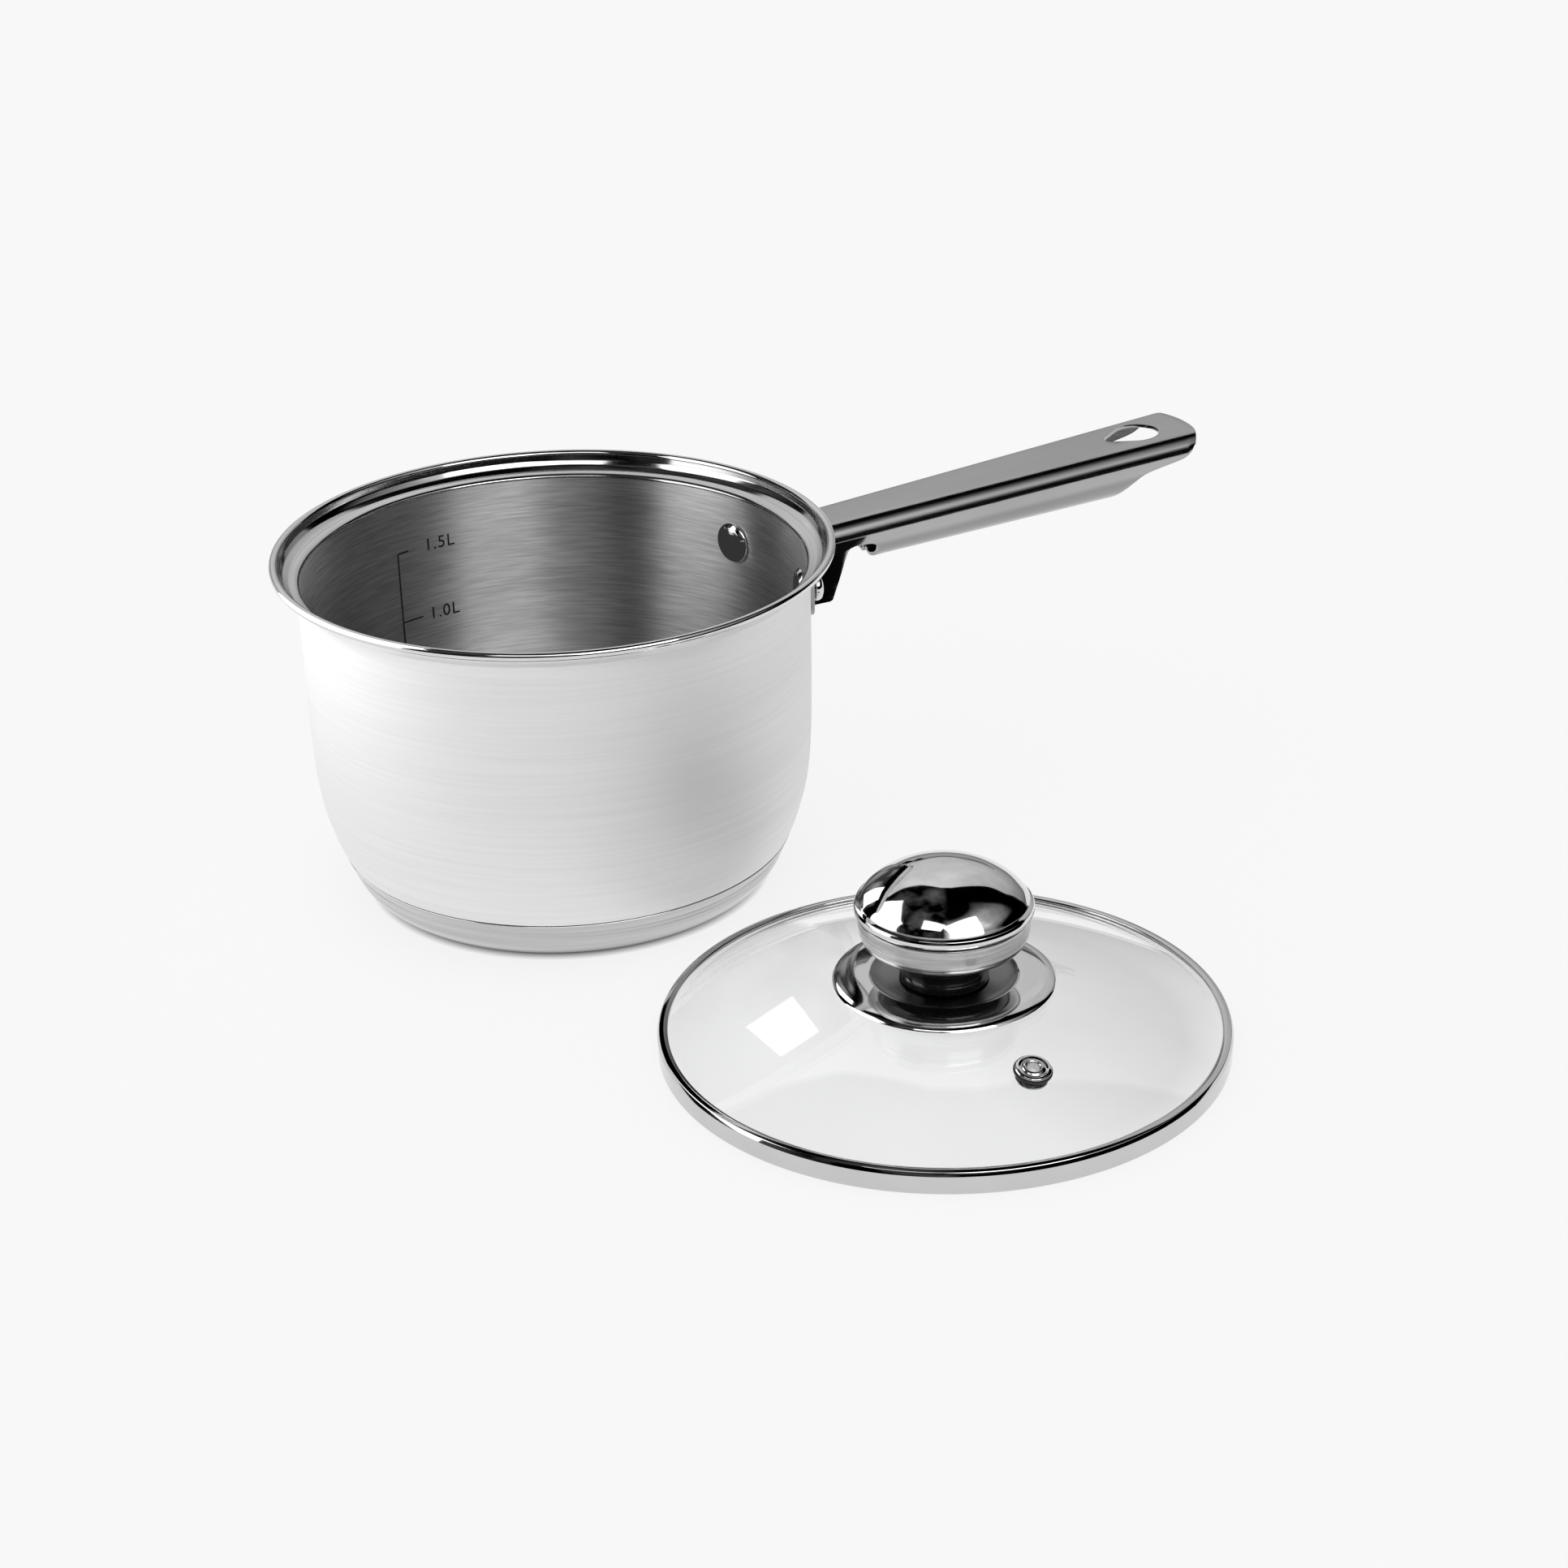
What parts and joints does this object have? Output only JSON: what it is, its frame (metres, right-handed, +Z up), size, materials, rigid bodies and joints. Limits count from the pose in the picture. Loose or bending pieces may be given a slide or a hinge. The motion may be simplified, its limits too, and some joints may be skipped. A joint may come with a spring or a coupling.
{
  "type": "saucepan",
  "caption": "Small straight-sided stainless saucepan with a flared pouring rim, a folded steel handle and a domed glass lid with a metal knob, lid lying beside it.",
  "frame": {"origin": "centre of the underside of the pan's base, on the surface it stands on", "axes": "+Z up along the pan's axis, +X from the pan along its handle, the lid lies on the -Y side"},
  "size_m": [0.3285, 0.335, 0.113],
  "materials": {
    "satin_steel": "satin, turned or brushed round the axis",
    "polished_steel": "polished stainless",
    "aluminium": "plain, hidden in the base",
    "lid_glass": "clear toughened glass",
    "black_silicone": "matt",
    "black_plastic": "smooth black phenolic",
    "brass": "plain, hidden in the knob"
  },
  "bodies": {
    "pan": {"pan_body": "satin_steel", "base_core": "aluminium", "base_cap": "satin_steel", "handle": "polished_steel", "handle_rivet_left": "polished_steel", "handle_rivet_right": "polished_steel"},
    "lid": {"lid_glass": "lid_glass", "lid_rim_band": "polished_steel", "vent_eyelet": "polished_steel", "vent_gasket": "black_silicone", "knob_flange": "polished_steel", "flange_gasket": "black_silicone", "knob_neck": "black_plastic", "knob_cup": "satin_steel", "knob_cap": "polished_steel", "knob_insert": "brass", "knob_screw": "satin_steel", "screw_washer": "satin_steel", "screw_gasket": "black_silicone"}
  },
  "joints": [
    {"name": "lid_lift", "type": "slide", "parent": "pan", "child": "lid", "axis": [0.0718, -0.2486, 0.9659], "range_m": [0, 0.2]}
  ]
}
